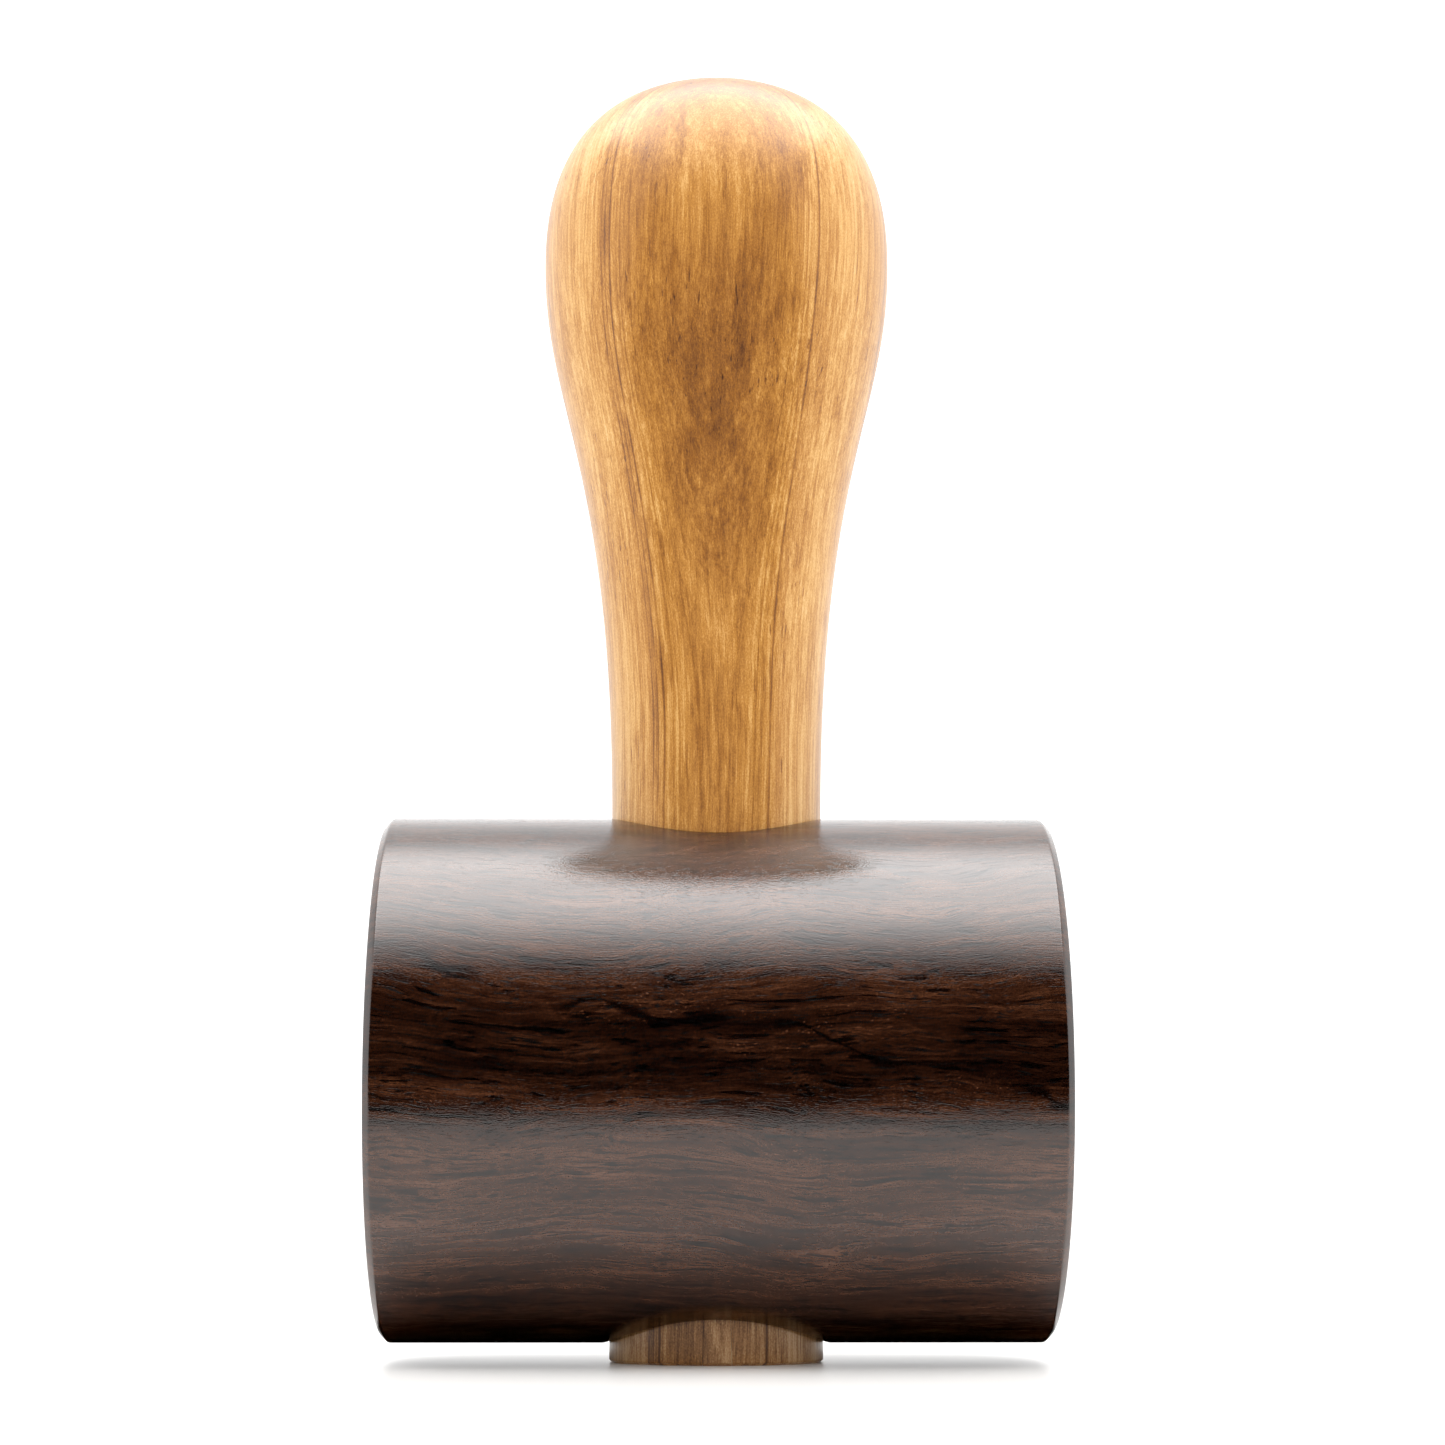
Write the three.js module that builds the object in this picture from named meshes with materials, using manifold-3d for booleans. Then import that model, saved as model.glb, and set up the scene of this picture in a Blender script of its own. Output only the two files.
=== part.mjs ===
// Small carver's or joiner's mallet, turned from two woods.
// A barrel-shaped head lies along X. A turned handle stands in it along Z, and its straight
// tenon passes right through the head and stands a little proud below, as a foot. The tenon is
// sawn from below, and a wedge driven into the kerf spreads it along the head's grain.
// Millimetres, +Z up. The origin is the middle of the foot's flat end.

import * as THREE from "three";
import { mergeVertices } from "three/addons/utils/BufferGeometryUtils.js";
import Module from "manifold-3d";

const wasm = await Module();
wasm.setup();

// Head
const HEAD_DIAMETER = 76;
const HEAD_LENGTH = 96.4;
const HEAD_BEVEL = 1.05;
const HEAD_LIFT = 2.7; // from the foot's end up to the head's underside
const MOUTH_EASING = 1; // bevel round both mouths of the bore

// Handle
const TENON_DIAMETER = 30.9;
const FOOT_BEVEL = 0.4;
const NECK_HEIGHT = 77.7; // the tenon runs straight up to here
const GRIP_DIAMETER = 52.1;
const GRIP_HEIGHT = 163.9; // height of the widest place of the grip
const HANDLE_HEIGHT = 191.5;
const NECK_PULL = 55.1; // how far the neck stays straight before it swells
const SHOULDER_PULL = 23.3; // how far the swell runs straight below the widest place
const CROWN_PULL = 16.7; // how far the side runs straight above the widest place
const CAP_PULL = 18.6; // how far the cap runs flat from the axis

// Wedged joint
const FIT_GAP = 0.3;
const KERF_MOUTH = 4.2;
const KERF_END = 1.4;
const KERF_DEPTH = 46;
const RELIEF_HOLE_DIAMETER = 5;
const WEDGE_LENGTH = 41;

// Fineness of the faceted surfaces
const HEAD_SEGMENTS = 96;
const HANDLE_SEGMENTS = 64;
const HOLE_SEGMENTS = 24;
const CURVE_STEPS = 14;
const OVERSHOOT = 2; // how far a cutter runs past what it cuts
const MERGE_DISTANCE = 1e-4;

const headRadius = HEAD_DIAMETER / 2;
const headAxisHeight = HEAD_LIFT + headRadius;
const tenonRadius = TENON_DIAMETER / 2;
const gripRadius = GRIP_DIAMETER / 2;
const boreRadius = tenonRadius + FIT_GAP;

function kerfWidth(height) {
  return KERF_MOUTH + (KERF_END - KERF_MOUTH) * (height / KERF_DEPTH);
}

function wedgeThickness(height) {
  return kerfWidth(height) - 2 * FIT_GAP;
}

// A three.js geometry as a manifold solid, without the zero-area triangles at a lathe's poles.
function toSolid(geometry) {
  const bare = geometry.clone();
  bare.deleteAttribute("normal");
  bare.deleteAttribute("uv");
  const merged = mergeVertices(bare, MERGE_DISTANCE);
  const corners = merged.index.array;
  const triangles = [];
  for (let i = 0; i < corners.length; i += 3) {
    const [a, b, c] = corners.slice(i, i + 3);
    if (a !== b && b !== c && c !== a) {
      triangles.push(a, b, c);
    }
  }
  return new wasm.Manifold(new wasm.Mesh({
    numProp: 3,
    vertProperties: new Float32Array(merged.attributes.position.array),
    triVerts: new Uint32Array(triangles),
  }));
}

function toGeometry(solid) {
  const mesh = solid.getMesh();
  const geometry = new THREE.BufferGeometry();
  geometry.setAttribute("position", new THREE.BufferAttribute(mesh.vertProperties, 3));
  geometry.setIndex(new THREE.BufferAttribute(mesh.triVerts, 1));
  geometry.computeVertexNormals();
  return geometry;
}

// Turns an outline of (radius, height) round the Z axis.
function turn(outline, segments) {
  const geometry = new THREE.LatheGeometry(outline.getPoints(CURVE_STEPS), segments);
  return geometry.rotateX(Math.PI / 2);
}

// An upright round bar that stands on a given height.
function roundBar(radius, bottom, length, segments) {
  const outline = new THREE.Path();
  outline.moveTo(0, bottom);
  outline.lineTo(radius, bottom);
  outline.lineTo(radius, bottom + length);
  outline.lineTo(0, bottom + length);
  return turn(outline, segments);
}

// A prism with an (x, z) outline, centred on Y.
function crossPrism(outline, width) {
  const geometry = new THREE.ExtrudeGeometry(outline, { depth: width, bevelEnabled: false });
  geometry.rotateX(Math.PI / 2);
  return geometry.translate(0, width / 2, 0);
}

// The taper that the kerf and the wedge share, between two heights.
function taperOutline(bottom, top, widthAt) {
  const outline = new THREE.Shape();
  outline.moveTo(-widthAt(bottom) / 2, bottom);
  outline.lineTo(widthAt(bottom) / 2, bottom);
  outline.lineTo(widthAt(top) / 2, top);
  outline.lineTo(-widthAt(top) / 2, top);
  outline.closePath();
  return outline;
}

// A three-sided ring that follows the saddle-shaped rim of the bore. One of its sides is the
// bevel: it drops from the head's surface outside the rim to the bore's wall below it.
function mouthCutter() {
  const surfaceAt = (radius, angle) => {
    return Math.sqrt(headRadius ** 2 - (radius * Math.sin(angle)) ** 2);
  };
  const outerRadius = boreRadius + MOUTH_EASING;
  const innerRadius = boreRadius - MOUTH_EASING;
  const positions = [];
  const corners = [];
  for (let i = 0; i < HANDLE_SEGMENTS; i += 1) {
    const angle = (i / HANDLE_SEGMENTS) * 2 * Math.PI;
    const outerHeight = surfaceAt(outerRadius, angle);
    const wallHeight = surfaceAt(boreRadius, angle) - MOUTH_EASING;
    const rise = outerHeight - wallHeight;
    const section = [
      [innerRadius, wallHeight - rise],
      [outerRadius + MOUTH_EASING, outerHeight + rise],
      [innerRadius, outerHeight + rise],
    ];
    for (const [radius, height] of section) {
      positions.push(radius * Math.cos(angle), radius * Math.sin(angle), height);
    }
    const next = (i + 1) % HANDLE_SEGMENTS;
    for (let side = 0; side < 3; side += 1) {
      const a = 3 * i + side;
      const b = 3 * i + ((side + 1) % 3);
      const c = 3 * next + ((side + 1) % 3);
      const d = 3 * next + side;
      corners.push(a, d, c, a, c, b);
    }
  }
  const geometry = new THREE.BufferGeometry();
  geometry.setAttribute("position", new THREE.Float32BufferAttribute(positions, 3));
  geometry.setIndex(corners);
  return geometry;
}

function headGeometry() {
  const outline = new THREE.Path();
  outline.moveTo(0, -HEAD_LENGTH / 2);
  outline.lineTo(headRadius - HEAD_BEVEL, -HEAD_LENGTH / 2);
  outline.lineTo(headRadius, -HEAD_LENGTH / 2 + HEAD_BEVEL);
  outline.lineTo(headRadius, HEAD_LENGTH / 2 - HEAD_BEVEL);
  outline.lineTo(headRadius - HEAD_BEVEL, HEAD_LENGTH / 2);
  outline.lineTo(0, HEAD_LENGTH / 2);
  const barrel = turn(outline, HEAD_SEGMENTS).rotateY(Math.PI / 2);
  const boreLength = HEAD_DIAMETER + 2 * OVERSHOOT;
  const bore = roundBar(boreRadius, -boreLength / 2, boreLength, HANDLE_SEGMENTS);
  const upperMouth = mouthCutter();
  const lowerMouth = mouthCutter().rotateX(Math.PI);
  const solid = toSolid(barrel)
    .subtract(toSolid(bore))
    .subtract(toSolid(upperMouth))
    .subtract(toSolid(lowerMouth));
  return toGeometry(solid);
}

function handleGeometry() {
  const outline = new THREE.Path();
  outline.moveTo(0, 0);
  outline.lineTo(tenonRadius - FOOT_BEVEL, 0);
  outline.lineTo(tenonRadius, FOOT_BEVEL);
  outline.lineTo(tenonRadius, NECK_HEIGHT);
  outline.bezierCurveTo(
    tenonRadius, NECK_HEIGHT + NECK_PULL,
    gripRadius, GRIP_HEIGHT - SHOULDER_PULL,
    gripRadius, GRIP_HEIGHT,
  );
  outline.bezierCurveTo(
    gripRadius, GRIP_HEIGHT + CROWN_PULL,
    CAP_PULL, HANDLE_HEIGHT,
    0, HANDLE_HEIGHT,
  );
  const cutWidth = TENON_DIAMETER + 2 * OVERSHOOT;
  const kerf = crossPrism(taperOutline(-OVERSHOOT, KERF_DEPTH, kerfWidth), cutWidth);
  const reliefHole = roundBar(RELIEF_HOLE_DIAMETER / 2, -cutWidth / 2, cutWidth, HOLE_SEGMENTS)
    .rotateX(Math.PI / 2)
    .translate(0, 0, KERF_DEPTH);
  const solid = toSolid(turn(outline, HANDLE_SEGMENTS))
    .subtract(toSolid(kerf))
    .subtract(toSolid(reliefHole));
  return toGeometry(solid);
}

// The wedge is trimmed flush with the foot and with the round of the tenon.
function wedgeGeometry() {
  const taper = crossPrism(
    taperOutline(0, WEDGE_LENGTH, wedgeThickness),
    TENON_DIAMETER + 2 * OVERSHOOT,
  );
  const round = new THREE.Path();
  round.moveTo(0, 0);
  round.lineTo(tenonRadius - FOOT_BEVEL, 0);
  round.lineTo(tenonRadius, FOOT_BEVEL);
  round.lineTo(tenonRadius, WEDGE_LENGTH + OVERSHOOT);
  round.lineTo(0, WEDGE_LENGTH + OVERSHOOT);
  return toGeometry(toSolid(taper).intersect(toSolid(turn(round, HANDLE_SEGMENTS))));
}

function wood(color, roughness) {
  return new THREE.MeshStandardMaterial({ color, roughness, metalness: 0 });
}

function piece(name, geometry, material) {
  const mesh = new THREE.Mesh(geometry, material);
  mesh.name = name;
  return mesh;
}

const mallet = new THREE.Group();
const head = piece("head", headGeometry(), wood(0x2e1a12, 0.3));
head.position.z = headAxisHeight;
mallet.add(head);
mallet.add(piece("handle", handleGeometry(), wood(0xcb8c48, 0.45)));
mallet.add(piece("wedge", wedgeGeometry(), wood(0xb88a58, 0.6)));

export default mallet;
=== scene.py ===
"""Looks for the wooden mallet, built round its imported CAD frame. Metres, +Z up."""

from math import cos, pi, radians, sin, sqrt

import bmesh
import bpy
from mathutils import Matrix, Vector


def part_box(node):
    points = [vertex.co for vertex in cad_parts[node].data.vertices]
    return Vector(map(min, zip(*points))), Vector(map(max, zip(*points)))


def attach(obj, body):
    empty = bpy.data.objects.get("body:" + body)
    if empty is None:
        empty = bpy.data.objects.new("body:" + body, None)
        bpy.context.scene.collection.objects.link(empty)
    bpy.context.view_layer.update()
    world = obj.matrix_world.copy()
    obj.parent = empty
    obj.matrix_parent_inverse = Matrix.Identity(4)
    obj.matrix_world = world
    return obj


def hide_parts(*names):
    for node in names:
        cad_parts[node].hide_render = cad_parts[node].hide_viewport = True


MM = 0.001

# Camera: a short telephoto close to the floor, tilted up, almost square to the head's side
CAMERA_PLACE = (-4.7 * MM, -473.2 * MM, 19.2 * MM)
CAMERA_LENS = 80.1
CAMERA_SENSOR = 36
CAMERA_TILT = 8.92
CAMERA_TURN = -0.68

# Head
HEAD_BEVEL = 1.05 * MM
ARRIS = 0.3 * MM  # how far a crisp corner is rubbed back
MOUTH_EASING = 1.0 * MM
MOUTH_STEPS = 5
HEAD_SEGMENTS = 288
HEAD_ROW = 2 * MM
FACE_ROWS = 12

# Handle
FOOT_BEVEL = 0.4 * MM
NECK_HEIGHT = 77.7 * MM
GRIP_HEIGHT = 163.9 * MM
NECK_PULL = 55.1 * MM
SHOULDER_PULL = 23.3 * MM
CROWN_PULL = 16.7 * MM
CAP_PULL = 18.6 * MM
HANDLE_SEGMENTS = 224
FOOT_ROWS = 6
TENON_ROWS = 24
SWELL_STEPS = 72
CROWN_STEPS = 48

# Wedged joint
JOINT_GAP = 0.04 * MM
KERF_MOUTH = 4.2 * MM
KERF_END = 1.4 * MM
KERF_DEPTH = 46 * MM
RELIEF_RADIUS = 2.5 * MM
RELIEF_SEGMENTS = 40
WEDGE_LENGTH = 41 * MM
OVERSHOOT = 2 * MM

SHARP_ANGLE = radians(40)

# Woods: where each piece's rings are centred, in mm across its grain, and how rough it is
HEAD_PITH = (-30.0, 98.0)
HANDLE_PITH = (-0.9, -29.3)
WEDGE_PITH = (2.5, -30.5)
HANDLE_ROUGHNESS = 0.31
WEDGE_ROUGHNESS = 0.5
HEAD_ROUGHNESS = 0.1

# Studio
WORLD_BRIGHTNESS = 1.6
FLOOR_WIDTH = 6
SOFTBOX_HEIGHT = 0.58
SOFTBOX_WIDTH = 0.8
SOFTBOX_NEAR_EDGES = (-0.18, -0.26, -0.33, -0.40)
SOFTBOX_FAR_EDGES = (0.13, 0.18, 0.24, 0.30)
SOFTBOX_SHINE = 5.5
SOFTBOX_GLOW = 1.4
LAYER_RISE = 5 * MM


# ---------------------------------------------------------------- mesh tools

def bezier(start, pull_start, pull_end, end, steps):
    """Points of a cubic curve, without its first one."""
    points = []
    for i in range(1, steps + 1):
        t = i / steps
        s = 1 - t
        weights = (s ** 3, 3 * s * s * t, 3 * s * t * t, t ** 3)
        corners = (start, pull_start, pull_end, end)
        points.append(tuple(
            sum(w * corner[k] for w, corner in zip(weights, corners)) for k in (0, 1)
        ))
    return points


def straight(start, end, steps):
    """Points of a straight stretch, without its first one."""
    return [
        tuple(start[k] + (end[k] - start[k]) * i / steps for k in (0, 1))
        for i in range(1, steps + 1)
    ]


def eased_corner(before, corner, after, size, steps=4):
    """A corner rubbed back by size along both of its sides."""
    before, corner, after = Vector(before), Vector(corner), Vector(after)
    start = corner + (before - corner).normalized() * size
    end = corner + (after - corner).normalized() * size
    points = []
    for i in range(steps + 1):
        t = i / steps
        point = start * (1 - t) ** 2 + corner * 2 * t * (1 - t) + end * t * t
        points.append(tuple(point))
    return points


def to_object(name, bm):
    """A new object of bm, which is freed."""
    mesh = bpy.data.meshes.new(name)
    bm.to_mesh(mesh)
    bm.free()
    made = bpy.data.objects.new(name, mesh)
    bpy.context.scene.collection.objects.link(made)
    return made


def turned(name, outline, segments):
    """A closed solid of a (radius, height) outline turned round Z. It starts and ends on the axis."""
    bm = bmesh.new()
    bottom = bm.verts.new((0, 0, outline[0][1]))
    top = bm.verts.new((0, 0, outline[-1][1]))
    rings = []
    for radius, height in outline[1:-1]:
        ring = []
        for i in range(segments):
            angle = 2 * pi * i / segments
            ring.append(bm.verts.new((radius * cos(angle), radius * sin(angle), height)))
        rings.append(ring)
    for i in range(segments):
        j = (i + 1) % segments
        bm.faces.new((bottom, rings[0][j], rings[0][i]))
        bm.faces.new((top, rings[-1][i], rings[-1][j]))
        for low, high in zip(rings, rings[1:]):
            bm.faces.new((low[i], low[j], high[j], high[i]))
    return to_object(name, bm)


def prism(name, outline, width):
    """A closed solid of an (x, z) outline, centred on Y."""
    bm = bmesh.new()
    front = [bm.verts.new((x, -width / 2, z)) for x, z in outline]
    back = [bm.verts.new((x, width / 2, z)) for x, z in outline]
    bm.faces.new(front)
    bm.faces.new(reversed(back))
    for i in range(len(outline)):
        j = (i + 1) % len(outline)
        bm.faces.new((front[j], front[i], back[i], back[j]))
    bmesh.ops.recalc_face_normals(bm, faces=bm.faces)
    return to_object(name, bm)


def combine(piece, other, operation):
    """Cuts piece by other, or keeps what they share, and throws other away."""
    modifier = piece.modifiers.new("combine", "BOOLEAN")
    modifier.operation = operation
    modifier.solver = "EXACT"
    modifier.object = other
    depsgraph = bpy.context.evaluated_depsgraph_get()
    result = bpy.data.meshes.new_from_object(piece.evaluated_get(depsgraph))
    piece.modifiers.clear()
    old = piece.data
    piece.data = result
    bpy.data.meshes.remove(old)
    bpy.data.objects.remove(other)


def finish_mesh(piece):
    """Smooth shading that stays crisp at real corners."""
    mesh = piece.data
    mesh.name = piece.name
    mesh.shade_smooth()
    mesh.set_sharp_from_angle(angle=SHARP_ANGLE)


# ------------------------------------------------------------------- pieces

def kerf_width(height):
    return KERF_MOUTH + (KERF_END - KERF_MOUTH) * height / KERF_DEPTH


def taper(bottom, top, gap):
    """The (x, z) outline of the kerf's taper between two heights, drawn in by gap on both sides."""
    low = kerf_width(bottom) / 2 - gap
    high = kerf_width(top) / 2 - gap
    return [(-low, bottom), (low, bottom), (high, top), (-high, top)]


def foot_corner(radius):
    """The foot's bevel, with both of its corners eased, from its flat end to the tenon's side."""
    end = (0, 0)
    low = (radius - FOOT_BEVEL, 0)
    high = (radius, FOOT_BEVEL)
    side = (radius, 4 * FOOT_BEVEL)
    ease = FOOT_BEVEL / 4
    return eased_corner(end, low, high, ease) + eased_corner(low, high, side, ease)


def make_handle(tenon_radius, grip_radius, height):
    neck = (tenon_radius, NECK_HEIGHT)
    grip = (grip_radius, GRIP_HEIGHT)
    cap = (0, height)
    outline = [(0, 0)] + straight((0, 0), (tenon_radius - 2 * FOOT_BEVEL, 0), FOOT_ROWS)
    outline += foot_corner(tenon_radius)
    outline += straight(outline[-1], neck, TENON_ROWS)
    outline += bezier(
        neck, (tenon_radius, NECK_HEIGHT + NECK_PULL),
        (grip_radius, GRIP_HEIGHT - SHOULDER_PULL), grip, SWELL_STEPS,
    )
    outline += bezier(
        grip, (grip_radius, GRIP_HEIGHT + CROWN_PULL), (CAP_PULL, height), cap, CROWN_STEPS,
    )
    handle = turned("handle_turning", outline, HANDLE_SEGMENTS)
    cut_width = 2 * (tenon_radius + OVERSHOOT)
    kerf = prism("kerf_cutter", taper(-OVERSHOOT, KERF_DEPTH, 0), cut_width)
    combine(handle, kerf, "DIFFERENCE")
    half = cut_width / 2
    hole_outline = [(0, -half), (RELIEF_RADIUS, -half), (RELIEF_RADIUS, half), (0, half)]
    hole = turned("hole_cutter", hole_outline, RELIEF_SEGMENTS)
    hole.data.transform(Matrix.Translation((0, 0, KERF_DEPTH)) @ Matrix.Rotation(pi / 2, 4, "X"))
    combine(handle, hole, "DIFFERENCE")
    finish_mesh(handle)
    return handle


def make_wedge(tenon_radius):
    """A taper trimmed flush with the foot and with the round of the tenon."""
    outline = [(0, 0)] + foot_corner(tenon_radius)
    outline += [(tenon_radius, WEDGE_LENGTH + OVERSHOOT), (0, WEDGE_LENGTH + OVERSHOOT)]
    wedge = turned("wedge_slip", outline, HANDLE_SEGMENTS)
    slab = prism("slab", taper(-OVERSHOOT, WEDGE_LENGTH, JOINT_GAP), 2 * (tenon_radius + OVERSHOOT))
    combine(wedge, slab, "INTERSECT")
    finish_mesh(wedge)
    return wedge


def mouth_cutter(head_radius, bore_radius):
    """A ring that follows the saddle-shaped rim of the bore and rounds it over."""
    bm = bmesh.new()
    rings = []
    for i in range(HANDLE_SEGMENTS):
        angle = 2 * pi * i / HANDLE_SEGMENTS
        section = []
        for step in range(MOUTH_STEPS + 1):
            turn = pi / 2 * step / MOUTH_STEPS
            radius = bore_radius + MOUTH_EASING * (1 - cos(turn))
            surface = sqrt(head_radius ** 2 - (radius * sin(angle)) ** 2)
            section.append((radius, surface - MOUTH_EASING * (1 - sin(turn))))
        low = (bore_radius - MOUTH_EASING, section[0][1] - MOUTH_EASING)
        high = (bore_radius - MOUTH_EASING, head_radius + MOUTH_EASING)
        outer = (section[-1][0] + MOUTH_EASING / 8, head_radius + MOUTH_EASING)
        section = [low] + section + [outer, high]
        rings.append([bm.verts.new((r * cos(angle), r * sin(angle), z)) for r, z in section])
    for i in range(HANDLE_SEGMENTS):
        here = rings[i]
        there = rings[(i + 1) % HANDLE_SEGMENTS]
        for k in range(len(here)):
            m = (k + 1) % len(here)
            bm.faces.new((here[k], here[m], there[m], there[k]))
    bmesh.ops.recalc_face_normals(bm, faces=bm.faces)
    return to_object("mouth_cutter", bm)


def make_head(radius, length, axis_height, bore_radius):
    half = length / 2
    end = (0, half)
    low = (radius - HEAD_BEVEL, half)
    high = (radius, half - HEAD_BEVEL)
    side = (radius, 0)
    rows = round((length - 2 * HEAD_BEVEL) / HEAD_ROW)
    corner = eased_corner(side, high, low, ARRIS) + eased_corner(high, low, end, ARRIS)
    mirrored = [(r, -z) for r, z in reversed(corner)]
    flat = radius - 2 * HEAD_BEVEL
    outline = [(0, -half)] + straight((0, -half), (flat, -half), FACE_ROWS)
    outline += mirrored
    outline += straight(mirrored[-1], corner[0], rows)[:-1]
    outline += corner
    outline += straight((flat, half), (0, half), FACE_ROWS)
    head = turned("head_barrel", outline, HEAD_SEGMENTS)
    head.data.transform(Matrix.Rotation(pi / 2, 4, "Y"))
    reach = radius + OVERSHOOT
    bore_outline = [(0, -reach), (bore_radius, -reach), (bore_radius, reach), (0, reach)]
    combine(head, turned("bore_cutter", bore_outline, HANDLE_SEGMENTS), "DIFFERENCE")
    for flip in (0, pi):
        cutter = mouth_cutter(radius, bore_radius)
        cutter.data.transform(Matrix.Rotation(flip, 4, "X"))
        combine(head, cutter, "DIFFERENCE")
    head.data.transform(Matrix.Translation((0, 0, axis_height)))
    finish_mesh(head)
    return head


# ---------------------------------------------------------------- materials

class Graph:
    """A short way to write a material's node tree. Values are sockets or plain numbers."""

    def __init__(self, name):
        self.material = bpy.data.materials.new(name)
        self.material.use_nodes = True
        self.tree = self.material.node_tree
        self.shader = self.tree.nodes["Principled BSDF"]

    def node(self, kind, **settings):
        made = self.tree.nodes.new(kind)
        for name, value in settings.items():
            setattr(made, name, value)
        return made

    def feed(self, socket, value):
        if isinstance(value, bpy.types.NodeSocket):
            self.tree.links.new(value, socket)
        else:
            socket.default_value = value

    def axis(self, place, name):
        made = self.node("ShaderNodeSeparateXYZ")
        self.feed(made.inputs[0], place)
        return made.outputs[name]

    def math(self, operation, first, second=0.0, clamp=False):
        made = self.node("ShaderNodeMath", operation=operation, use_clamp=clamp)
        self.feed(made.inputs[0], first)
        self.feed(made.inputs[1], second)
        return made.outputs[0]

    def vector(self, operation, first, second=(0.0, 0.0, 0.0)):
        made = self.node("ShaderNodeVectorMath", operation=operation)
        self.feed(made.inputs[0], first)
        self.feed(made.inputs[1], second)
        return made.outputs["Value" if operation == "LENGTH" else "Vector"]

    def place(self):
        """The point on the piece, in millimetres of the row frame."""
        coordinates = self.node("ShaderNodeTexCoord").outputs["Object"]
        return self.vector("MULTIPLY", coordinates, (1 / MM, 1 / MM, 1 / MM))

    def noise(self, place, stretch, detail=2.0, roughness=0.5, output="Fac"):
        made = self.node("ShaderNodeTexNoise")
        self.feed(made.inputs["Vector"], self.vector("MULTIPLY", place, stretch))
        made.inputs["Scale"].default_value = 1.0
        made.inputs["Detail"].default_value = detail
        made.inputs["Roughness"].default_value = roughness
        return made.outputs[output]

    def bands(self, distance, per_mm, detail=2.0, roughness=0.5):
        """Uneven bands along one distance."""
        made = self.node("ShaderNodeTexNoise", noise_dimensions="1D")
        self.feed(made.inputs["W"], self.math("MULTIPLY", distance, per_mm))
        made.inputs["Scale"].default_value = 1.0
        made.inputs["Detail"].default_value = detail
        made.inputs["Roughness"].default_value = roughness
        return made.outputs["Fac"]

    def drift(self, place, stretch, detail, amount):
        """A smooth random offset of place, of about half of amount either way."""
        wave = self.noise(place, stretch, detail, output="Color")
        return self.vector("MULTIPLY", self.vector("SUBTRACT", wave, (0.5, 0.5, 0.5)), amount)

    def ring_radius(self, place, pith, along):
        """The distance from the pith, measured across the grain. along is the grain's direction."""
        across = tuple(1.0 - part for part in along)
        offset = self.vector("SUBTRACT", place, pith)
        return self.vector("LENGTH", self.vector("MULTIPLY", offset, across))

    def zones(self, radius, levels):
        """A tone for each radius, blended evenly between the rows of levels, innermost first."""
        reach = levels[-1][0]
        stops = [(ring / reach, level) for ring, level in levels]
        return self.ramp(self.math("DIVIDE", radius, reach), stops)

    def between(self, value, low, high, to_low=0.0, to_high=1.0):
        """Maps low..high smoothly to to_low..to_high."""
        made = self.node("ShaderNodeMapRange", interpolation_type="SMOOTHSTEP")
        self.feed(made.inputs["Value"], value)
        made.inputs["From Min"].default_value = low
        made.inputs["From Max"].default_value = high
        made.inputs["To Min"].default_value = to_low
        made.inputs["To Max"].default_value = to_high
        return made.outputs["Result"]

    def swing(self, noise, amount):
        """A noise of 0..1 as a change of about -amount..amount."""
        return self.math("MULTIPLY", self.math("SUBTRACT", noise, 0.5), 2 * amount)

    def total(self, *values):
        result = values[0]
        for value in values[1:]:
            result = self.math("ADD", result, value)
        return result

    def ramp(self, value, stops):
        """stops are (position, colour or grey)."""
        made = self.node("ShaderNodeValToRGB")
        self.feed(made.inputs["Fac"], value)
        elements = made.color_ramp.elements
        while len(elements) < len(stops):
            elements.new(1.0)
        for element, (position, colour) in zip(elements, stops):
            element.position = position
            if isinstance(colour, (int, float)):
                colour = (colour, colour, colour)
            element.color = (*colour, 1.0)
        return made.outputs["Color"]

    def mix(self, share, first, second):
        made = self.node("ShaderNodeMix", data_type="RGBA")
        self.feed(made.inputs["Factor"], share)
        self.feed(made.inputs["A"], first)
        self.feed(made.inputs["B"], second)
        return made.outputs["Result"]

    def surface(self, colour, roughness, height, depth):
        self.feed(self.shader.inputs["Base Color"], colour)
        self.feed(self.shader.inputs["Roughness"], roughness)
        bump = self.node("ShaderNodeBump")
        bump.inputs["Strength"].default_value = 1.0
        bump.inputs["Distance"].default_value = depth
        self.feed(bump.inputs["Height"], height)
        self.feed(self.shader.inputs["Normal"], bump.outputs["Normal"])


# Dark growth lines of the olive wood: radius and half width in mm, depth of tone, and how much of
# that depth the +X side shows
GROWTH_LINES = (
    (17.7, 0.26, 0.26, 1.0),
    (18.6, 0.18, 0.20, 0.2),
    (19.3, 0.24, 0.22, 0.0),
    (18.6, 1.9, 0.10, 0.2),
    (15.9, 0.16, 0.10, 1.0),
    (14.4, 0.16, 0.08, 1.0),
    (21.6, 0.16, 0.12, 0.4),
    (35.0, 0.35, 0.22, 1.0),
    (44.0, 0.30, 0.18, 1.0),
)


# Each wood's growth zones, from its pith outwards: radius in mm and tone. The dark wood's tones also
# carry painted light
OLIVE_ZONES = (
    (0, 0.60), (5, 0.56), (8, 0.52), (12, 0.46), (16.5, 0.58), (22, 0.68),
    (31, 0.66), (36, 0.54), (42, 0.66), (50, 0.58), (60, 0.70),
)
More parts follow.
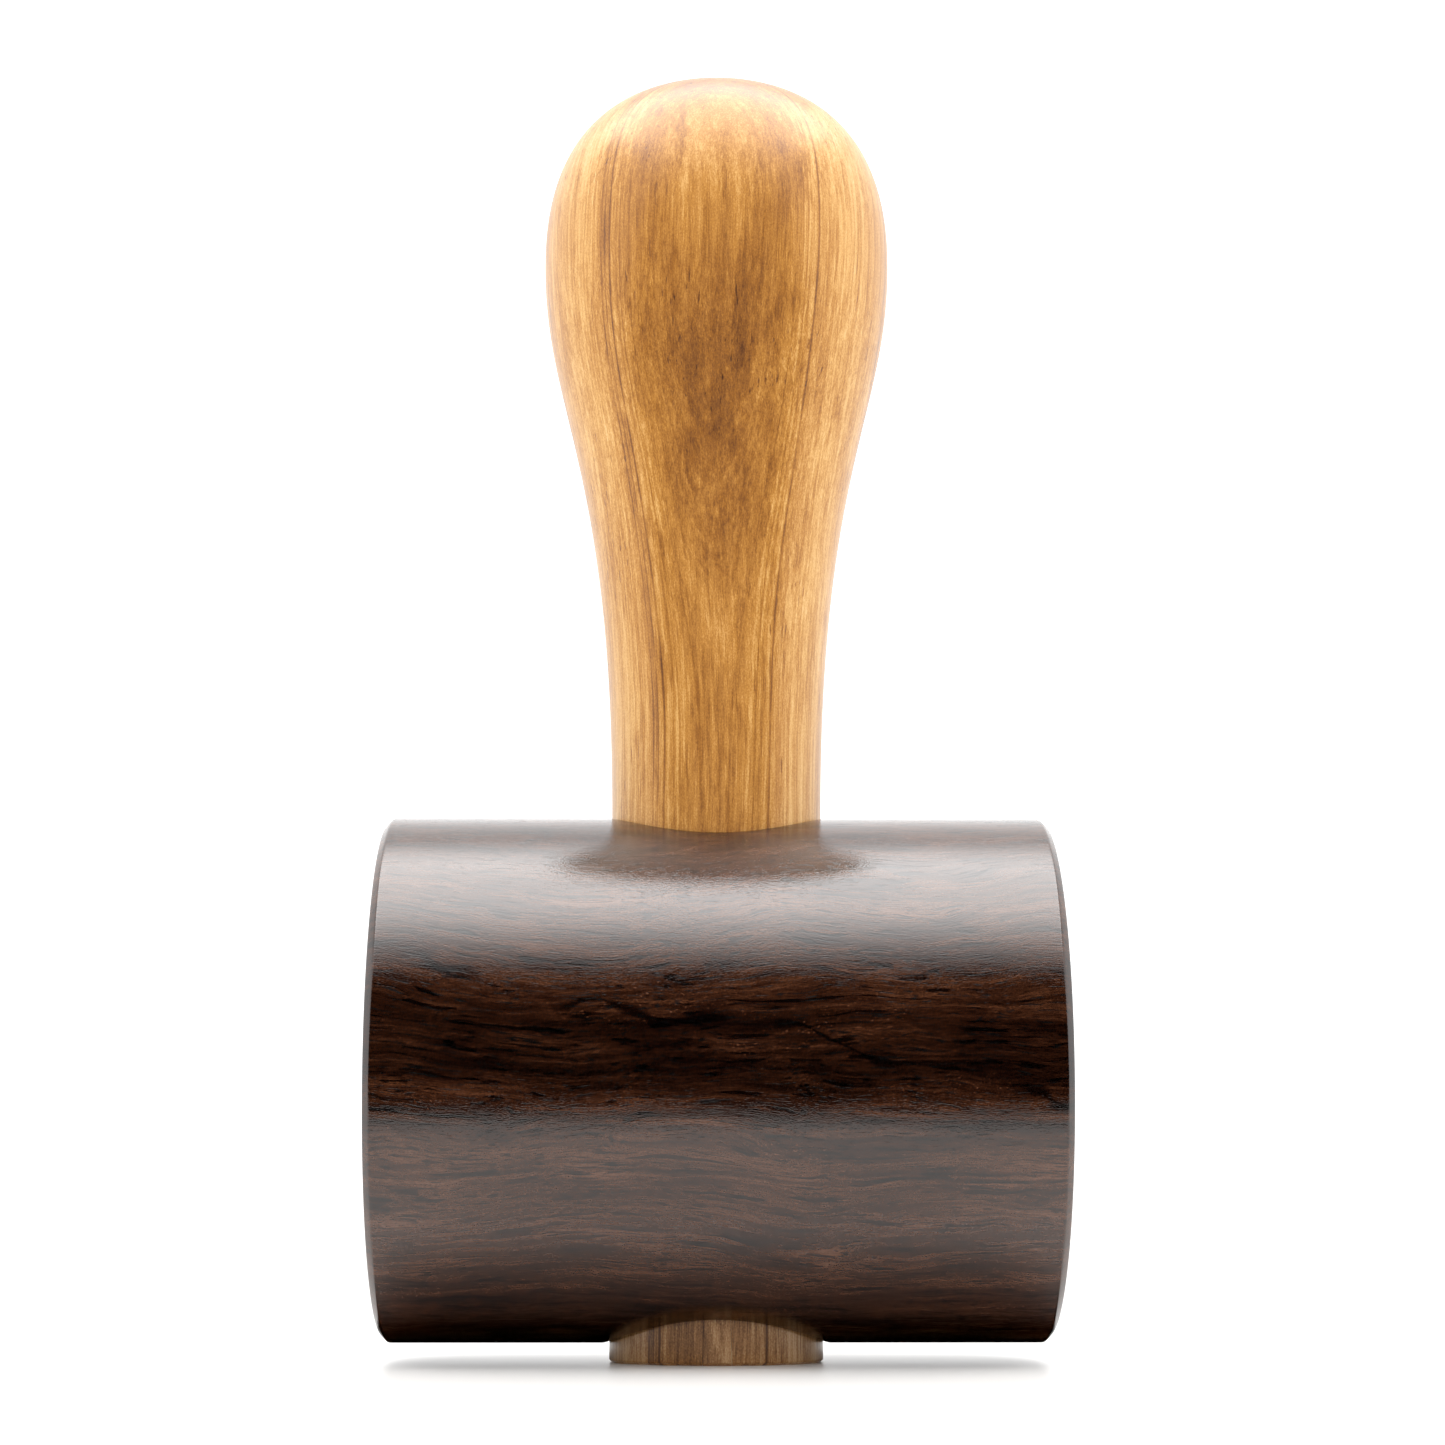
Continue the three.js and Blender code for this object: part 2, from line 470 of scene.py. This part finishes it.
# The head's tones are partly its own growth zones and partly painted light: the top and the lower
# front are paler where the softbox overhead and the bright floor light them
DARK_ZONES_AND_PAINTED_LIGHT = (
    (0, 0.70), (32, 0.72), (41, 0.64), (50, 0.47), (57, 0.41), (63, 0.50),
    (69, 0.66), (84, 0.72), (92, 0.58), (100, 0.40), (120, 0.56),
)


def olive_wood(name, pith, base_roughness):
    """Olive wood with its grain along Z. pith is the (x, y) of the rings' centre in mm."""
    g = Graph(name)
    place = g.place()
    wander = g.drift(place, (0.012, 0.012, 0.016), 1.0, (4.0, 4.0, 0.0))
    ripple = g.drift(place, (0.12, 0.12, 0.035), 2.0, (1.6, 1.6, 0.0))
    bent = g.vector("ADD", place, wander)
    warped = g.vector("ADD", bent, ripple)
    radius = g.ring_radius(warped, (*pith, 0.0), (0.0, 0.0, 1.0))
    line_radius = g.ring_radius(bent, (*pith, 0.0), (0.0, 0.0, 1.0))
    # Tone: 0 is a dark growth line, 1 the palest sapwood
    zones = g.zones(radius, OLIVE_ZONES)
    # The heartwood darkens in a flame from the bulb downwards
    below_crown = g.between(g.axis(warped, "Z"), 172.0, 146.0)
    flame = g.math("MULTIPLY", g.between(radius, 12.0, 6.0), below_crown)
    # The crown is a little paler: painted light from above. Its cap of end grain is darker, partly
    # the end grain's own tone and partly painted shade that dims the top where the overhead light is
    # strongest
    crown_painted_light = g.between(g.axis(place, "Z"), 168.0, 179.0, 0.0, 0.08)
    cap = g.between(g.axis(place, "Z"), 181.0, 189.0, 0.0, -0.18)
    zones = g.total(zones, crown_painted_light, cap, g.math("MULTIPLY", flame, -0.20))
    # Figure: bands by radius, then noise from broad to fine, both in cycles per mm
    broad = g.swing(g.bands(radius, 0.28, 2.0), 0.06)
    rings = g.swing(g.bands(radius, 1.6, 3.0, 0.6), 0.16)
    rings = g.math("MULTIPLY", rings, g.between(radius, 5.0, 15.0))
    clouds = g.swing(g.noise(warped, (0.14, 0.14, 0.04), 3.0, 0.6), 0.16)
    stripes = g.swing(g.noise(bent, (0.60, 0.60, 0.018), 2.0, 0.6), 0.16)
    streaks = g.swing(g.noise(warped, (1.6, 1.6, 0.05), 2.0, 0.6), 0.11)
    grain = g.swing(g.noise(bent, (3.6, 3.6, 0.07), 2.0, 0.6), 0.13)
    fibres = g.swing(g.noise(warped, (6.5, 6.5, 0.3), 1.0, 0.5), 0.14)
    speckle = g.swing(g.noise(place, (6.5, 6.5, 3.5), 1.0), 0.17)
    # Growth lines, some of which fade on the +X side
    lines = 0.0
    right = g.between(g.axis(place, "X"), -3.0, 3.0)
    for ring, width, depth, on_right in GROWTH_LINES:
        off = g.math("ABSOLUTE", g.math("SUBTRACT", line_radius, ring))
        line = g.between(off, 0.0, width, depth, 0.0)
        if on_right < 1.0:
            lost = g.math("MULTIPLY", right, 1.0 - on_right)
            line = g.math("MULTIPLY", line, g.math("SUBTRACT", 1.0, lost))
        lines = g.math("ADD", lines, line)
    broken = g.between(g.noise(place, (0.5, 0.5, 0.03), 1.0), 0.25, 0.55, 0.3, 1.0)
    lines = g.math("MULTIPLY", lines, broken)
    blots = g.between(g.noise(warped, (0.42, 0.42, 0.07), 3.0, 0.6), 0.57, 0.70)
    pores = g.between(g.noise(warped, (2.4, 2.4, 0.14), 1.0), 0.66, 0.74)
    porous = g.between(g.noise(place, (0.10, 0.10, 0.03), 1.0), 0.44, 0.58)
    pores = g.math("MULTIPLY", pores, porous)
    tone = g.total(zones, broad, rings, clouds, stripes, streaks, grain, fibres, speckle)
    tone = g.math("SUBTRACT", tone, lines)
    tone = g.math("SUBTRACT", tone, g.math("MULTIPLY", blots, 0.11))
    tone = g.math("SUBTRACT", tone, g.math("MULTIPLY", pores, 0.24), clamp=True)
    colour = g.ramp(tone, [
        (0.0, (0.042, 0.014, 0.005)),
        (0.20, (0.130, 0.042, 0.006)),
        (0.40, (0.260, 0.094, 0.009)),
        (0.58, (0.430, 0.188, 0.028)),
        (0.76, (0.610, 0.340, 0.102)),
        (1.0, (0.750, 0.510, 0.250)),
    ])
    # The tenon's bare foot, in the shade under the head, is painted darker and greyer: painted shade
    foot_shade = g.between(g.axis(place, "Z"), 6.0, 20.0, 0.8, 0.0)
    foot_shade_colour = g.ramp(tone, [
        (0.0, (0.010, 0.004, 0.002)),
        (0.40, (0.045, 0.017, 0.006)),
        (0.56, (0.180, 0.080, 0.028)),
        (0.72, (0.340, 0.195, 0.095)),
        (1.0, (0.480, 0.340, 0.220)),
    ])
    colour = g.mix(foot_shade, colour, foot_shade_colour)
    roughness = g.total(base_roughness, g.swing(g.noise(warped, (2.0, 2.0, 0.1), 1.0), 0.05))
    height = g.math("MULTIPLY", g.noise(warped, (5.0, 5.0, 0.3), 2.0, 0.6), 0.5)
    height = g.math("SUBTRACT", height, pores)
    g.surface(colour, roughness, height, 0.02 * MM)
    return g.material


def dark_wood(name, pith, base_roughness):
    """Near-black hardwood with its grain along X. pith is the (y, z) of the rings' centre in mm."""
    g = Graph(name)
    place = g.place()
    wander = g.drift(place, (0.018, 0.02, 0.02), 1.0, (0.0, 14.0, 14.0))
    ripple = g.drift(place, (0.07, 0.16, 0.16), 2.0, (0.0, 3.0, 3.0))
    warped = g.vector("ADD", g.vector("ADD", place, wander), ripple)
    radius = g.ring_radius(warped, (0.0, *pith), (1.0, 0.0, 0.0))
    # Tone: 0 is black, 1 the reddest brown
    # This tone by radius is partly growth zones and partly painted light, paler on the top and the
    # lower front
    zones = g.zones(radius, DARK_ZONES_AND_PAINTED_LIGHT)
    # Figure: bands by radius, then noise from broad to fine, both in cycles per mm
    broad = g.swing(g.bands(radius, 0.22, 2.0), 0.12)
    rings = g.swing(g.bands(radius, 1.1, 3.0, 0.6), 0.22)
    mottle = g.swing(g.noise(warped, (0.05, 0.26, 0.26), 3.0, 0.6), 0.36)
    streaks = g.swing(g.noise(warped, (0.05, 1.0, 1.0), 3.0, 0.6), 0.24)
    fibres = g.swing(g.noise(warped, (0.50, 6.5, 6.5), 1.0, 0.5), 0.22)
    speckle = g.swing(g.noise(place, (3.5, 6.5, 6.5), 1.0), 0.20)
    dashes = g.between(g.noise(warped, (0.07, 1.7, 1.7), 2.0), 0.59, 0.66)
    vessels = g.between(g.noise(warped, (0.15, 3.8, 3.8), 1.0), 0.60, 0.68)
    specks = g.between(g.noise(place, (3.0, 5.0, 5.0), 0.0), 0.74, 0.80)
    dusty = g.between(g.noise(place, (0.05, 0.14, 0.14), 1.0), 0.50, 0.64)
    specks = g.math("MULTIPLY", specks, dusty)
    # One black vein sinks across the figure towards +X
    vein_height = g.total(
        48.0, g.math("MULTIPLY", g.axis(place, "X"), -0.20),
        g.swing(g.noise(place, (0.045, 0.03, 0.03), 2.0), 9.0),
    )
    off = g.math("ABSOLUTE", g.math("SUBTRACT", g.axis(warped, "Z"), vein_height))
    vein_width = g.between(g.noise(place, (0.09, 0.3, 0.3), 2.0), 0.35, 0.65, 0.2, 1.5)
    vein = g.between(g.math("DIVIDE", off, vein_width), 0.2, 1.3, 1.0, 0.0)
    kept = g.between(g.noise(place, (0.05, 0.08, 0.08), 1.0), 0.38, 0.52)
    vein = g.math("MULTIPLY", vein, kept)
    tone = g.total(zones, broad, rings, mottle, streaks, fibres, speckle)
    tone = g.math("SUBTRACT", tone, g.math("MULTIPLY", dashes, 0.34))
    tone = g.math("SUBTRACT", tone, g.math("MULTIPLY", vein, 0.34))
    tone = g.math("SUBTRACT", tone, g.math("MULTIPLY", vessels, 0.30))
    tone = g.math("ADD", tone, g.math("MULTIPLY", specks, 0.4), clamp=True)
    colour = g.ramp(tone, [
        (0.0, (0.0008, 0.0004, 0.0003)),
        (0.25, (0.0034, 0.0009, 0.0004)),
        (0.50, (0.0160, 0.0044, 0.0016)),
        (0.75, (0.0500, 0.0170, 0.0068)),
        (1.0, (0.1050, 0.0450, 0.0250)),
    ])
    open_pores = g.math("MAXIMUM", dashes, vessels)
    roughness = g.total(base_roughness, g.swing(g.noise(warped, (0.3, 3.0, 3.0), 2.0), 0.05))
    roughness = g.math("ADD", roughness, g.math("MULTIPLY", vessels, 0.14))
    # The fine scratches of polishing run with the grain
    scratches = g.math("MULTIPLY", g.noise(place, (0.10, 2.8, 2.8), 2.0, 0.6), 0.3)
    dust = g.math("MULTIPLY", g.noise(place, (4.0, 8.0, 8.0), 0.0), 0.6)
    height = g.total(g.noise(warped, (0.5, 7.5, 7.5), 1.0, 0.5), scratches, dust)
    height = g.math("SUBTRACT", height, g.math("MULTIPLY", open_pores, 0.25))
    g.surface(colour, roughness, height, 0.013 * MM)
    g.feed(g.shader.inputs["Specular IOR Level"], 0.75)  # oily wood shines more than plain wood
    return g.material


def plain_floor(name):
    g = Graph(name)
    g.feed(g.shader.inputs["Base Color"], (0.95, 0.935, 0.915, 1.0))
    g.feed(g.shader.inputs["Roughness"], 0.3)
    return g.material


# ------------------------------------------------------------------- studio

def plane(name, centre, size, rotation=(0, 0, 0)):
    """A flat rectangle that faces +Z before it is turned."""
    mesh = bpy.data.meshes.new(name)
    x, y = size[0] / 2, size[1] / 2
    mesh.from_pydata([(-x, -y, 0), (x, -y, 0), (x, y, 0), (-x, y, 0)], [], [(0, 1, 2, 3)])
    made = bpy.data.objects.new(name, mesh)
    made.location = centre
    made.rotation_euler = rotation
    bpy.context.scene.collection.objects.link(made)
    return made


def add_camera():
    data = bpy.data.cameras.new("camera")
    data.lens = CAMERA_LENS
    data.sensor_width = CAMERA_SENSOR
    data.clip_start = 0.01
    camera = bpy.data.objects.new("camera", data)
    camera.location = CAMERA_PLACE
    camera.rotation_euler = (radians(90 + CAMERA_TILT), 0, radians(CAMERA_TURN))
    bpy.context.scene.collection.objects.link(camera)
    bpy.context.scene.camera = camera


def add_area_light(name, height, width, near, far, radiance):
    """A flat light that shines down, from near to far along Y."""
    data = bpy.data.lights.new(name, "AREA")
    data.shape = "RECTANGLE"
    data.size = width
    data.size_y = far - near
    data.energy = radiance * pi * data.size * data.size_y
    light = bpy.data.objects.new(name, data)
    light.location = (0, (near + far) / 2, height)
    light.visible_camera = False
    bpy.context.scene.collection.objects.link(light)
    return light


def add_softbox(height, width, near_edges, far_edges, shine, glow):
    """An overhead softbox. Its bright face is what gloss shows. It fades towards its front and back
    edges, so it is made of layers, each a little longer than the one below it. A weaker light does
    the lighting."""
    for number, (near, far) in enumerate(zip(near_edges, far_edges)):
        layer = add_area_light(
            f"softbox_face_{number}", height + number * LAYER_RISE, width, near, far,
            shine / len(near_edges),
        )
        layer.visible_diffuse = False
    fill = add_area_light("softbox_fill", height, width, near_edges[-1], far_edges[-1], glow)
    fill.visible_glossy = False


def add_world(brightness):
    world = bpy.data.worlds.new("world")
    world.use_nodes = True
    background = world.node_tree.nodes["Background"]
    background.inputs["Color"].default_value = (1, 1, 1, 1)
    background.inputs["Strength"].default_value = brightness
    bpy.context.scene.world = world


def add_floor():
    floor = plane("floor", (0, 0, 0), (FLOOR_WIDTH, FLOOR_WIDTH))
    floor.data.materials.append(plain_floor("floor_white"))


def add_flag(name, low, high, width, fade):
    """A black card from low to high, which only gloss sees. With a fade, it thins out over that
    length before high, and only its side towards the mallet is black."""
    low, high = Vector(low), Vector(high)
    lean = pi / 2 + (high - low).angle(Vector((0, 0, 1)))
    card = plane(name, (low + high) / 2, (width, (high - low).length), (lean, 0, 0))
    card.visible_camera = False
    card.visible_diffuse = False
    card.visible_shadow = False
    g = Graph(f"{name}_black")
    g.feed(g.shader.inputs["Base Color"], (0.0, 0.0, 0.0, 1.0))
    g.feed(g.shader.inputs["Specular IOR Level"], 0.0)
    if fade:
        half = (high - low).length / 2
        along = g.axis(g.node("ShaderNodeTexCoord").outputs["Object"], "Y")
        cover = g.between(along, half - fade, half, 1.0, 0.0)
        back = g.node("ShaderNodeNewGeometry").outputs["Backfacing"]
        g.feed(g.shader.inputs["Alpha"], g.math("MULTIPLY", cover, back))
    card.data.materials.append(g.material)


# -------------------------------------------------------------------- build

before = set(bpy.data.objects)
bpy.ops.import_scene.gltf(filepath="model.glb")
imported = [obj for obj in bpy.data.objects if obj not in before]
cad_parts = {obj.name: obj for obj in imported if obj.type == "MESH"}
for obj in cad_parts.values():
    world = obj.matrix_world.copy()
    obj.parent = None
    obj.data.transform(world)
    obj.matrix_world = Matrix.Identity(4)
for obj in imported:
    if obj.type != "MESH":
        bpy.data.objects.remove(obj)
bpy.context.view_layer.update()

bpy.context.scene.view_settings.view_transform = "Standard"
add_camera()
add_world(WORLD_BRIGHTNESS)
add_floor()
# The front card keeps the head's middle dark, and the low one its underside. The low card is a
# painted shadow: a black sheet on the floor under the head, which only gloss sees, standing in for
# the shade there
add_flag("front_flag", low=(0, -0.135, 0), high=(0, -0.45, 0.5), width=0.9, fade=0)
add_flag("low_shadow_card", low=(0, 0.022, 0.4 * MM), high=(0, -0.041, 0.2 * MM), width=0.11, fade=0.034)
add_softbox(
    SOFTBOX_HEIGHT, SOFTBOX_WIDTH, SOFTBOX_NEAR_EDGES, SOFTBOX_FAR_EDGES, SOFTBOX_SHINE, SOFTBOX_GLOW,
)

head_low, head_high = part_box("head")
handle_low, handle_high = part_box("handle")
wedge_low, wedge_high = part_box("wedge")
head_radius = (head_high[1] - head_low[1]) / 2
grip_radius = (handle_high[0] - handle_low[0]) / 2
tenon_radius = (wedge_high[1] - wedge_low[1]) / 2

head = make_head(
    head_radius, head_high[0] - head_low[0], (head_high[2] + head_low[2]) / 2,
    tenon_radius + JOINT_GAP,
)
head.data.materials.append(dark_wood("head_wood", HEAD_PITH, HEAD_ROUGHNESS))
handle = make_handle(tenon_radius, grip_radius, handle_high[2])
handle.data.materials.append(olive_wood("handle_wood", HANDLE_PITH, HANDLE_ROUGHNESS))
wedge = make_wedge(tenon_radius)
wedge.data.materials.append(olive_wood("wedge_wood", WEDGE_PITH, WEDGE_ROUGHNESS))

for piece, node in ((head, "head"), (handle, "handle"), (wedge, "wedge")):
    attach(piece, "root")
    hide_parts(node)
